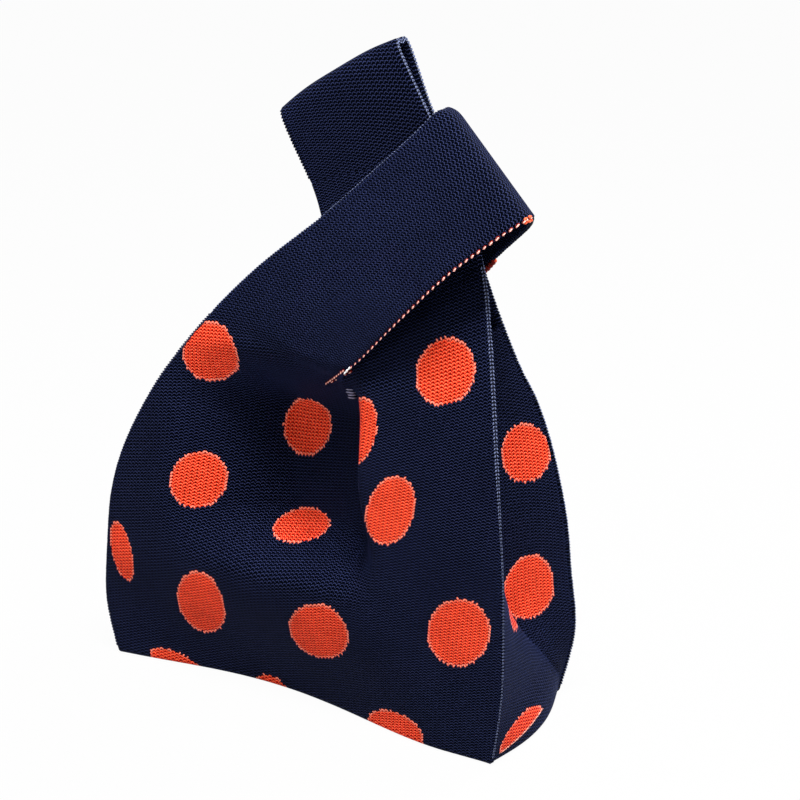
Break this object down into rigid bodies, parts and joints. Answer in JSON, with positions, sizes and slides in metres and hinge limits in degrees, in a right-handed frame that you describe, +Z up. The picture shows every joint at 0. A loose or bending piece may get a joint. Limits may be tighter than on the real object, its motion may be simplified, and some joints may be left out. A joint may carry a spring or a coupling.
{
  "type": "knitted knot bag",
  "caption": "Knitted gusseted tote whose long strap passes through its short strap to make a wrist loop.",
  "frame": {"origin": "on the resting plane, below the middle of the whole bag's box", "axes": "+Z up from the base to the straps, +X to the bag's right seen from the front, +Y to the back"},
  "size_m": [0.2564, 0.0887, 0.3513],
  "materials": {
    "knit": "matte double-faced knit, dark navy with orange dots",
    "edging": "matte chain-stitched navy yarn",
    "coral_yarn": "matte orange yarn stitches"
  },
  "bodies": {
    "bag_body": {"base_panel": "knit", "front_panel": "knit", "back_panel": "knit", "right_gusset": "knit", "left_gusset": "knit", "front_left_shoulder": "knit", "back_left_shoulder": "knit", "front_right_shoulder": "knit", "back_right_shoulder": "knit", "front_right_seam": "edging", "back_right_seam": "edging", "front_left_seam": "edging", "back_left_seam": "edging", "front_neck_tack": "coral_yarn", "back_neck_tack": "coral_yarn", "yarn_end_knot": "edging"},
    "straps": {"short_strap": "knit", "short_strap_neck_edging": "coral_yarn", "short_strap_upper_edging": "edging"},
    "long_strap": {"long_strap_front": "knit", "long_strap_back": "knit", "loop_bend_front": "knit", "loop_bend_back": "knit"},
    "wrist": {"wrist_loop": "knit", "wrist_loop_left_edging": "edging", "wrist_loop_right_edging": "edging"}
  },
  "joints": [
    {"name": "straps_swing", "type": "hinge", "parent": "bag_body", "child": "straps", "pos_m": [0, 0, 0.215], "axis": [1, 0, 0], "range_deg": [-35, 35], "deforming": ["front_left_shoulder", "back_left_shoulder", "front_right_shoulder", "back_right_shoulder"]},
    {"name": "long_strap_pull", "type": "slide", "parent": "straps", "child": "long_strap", "axis": [-0.4392, 0, 0.8984], "range_m": [0, 0.02]},
    {"name": "wrist_loop_swing", "type": "hinge", "parent": "long_strap", "child": "wrist", "pos_m": [0.03, 0.001, 0.297], "axis": [0.9285, 0, 0.3714], "range_deg": [-40, 40], "deforming": ["loop_bend_front", "loop_bend_back"]}
  ]
}
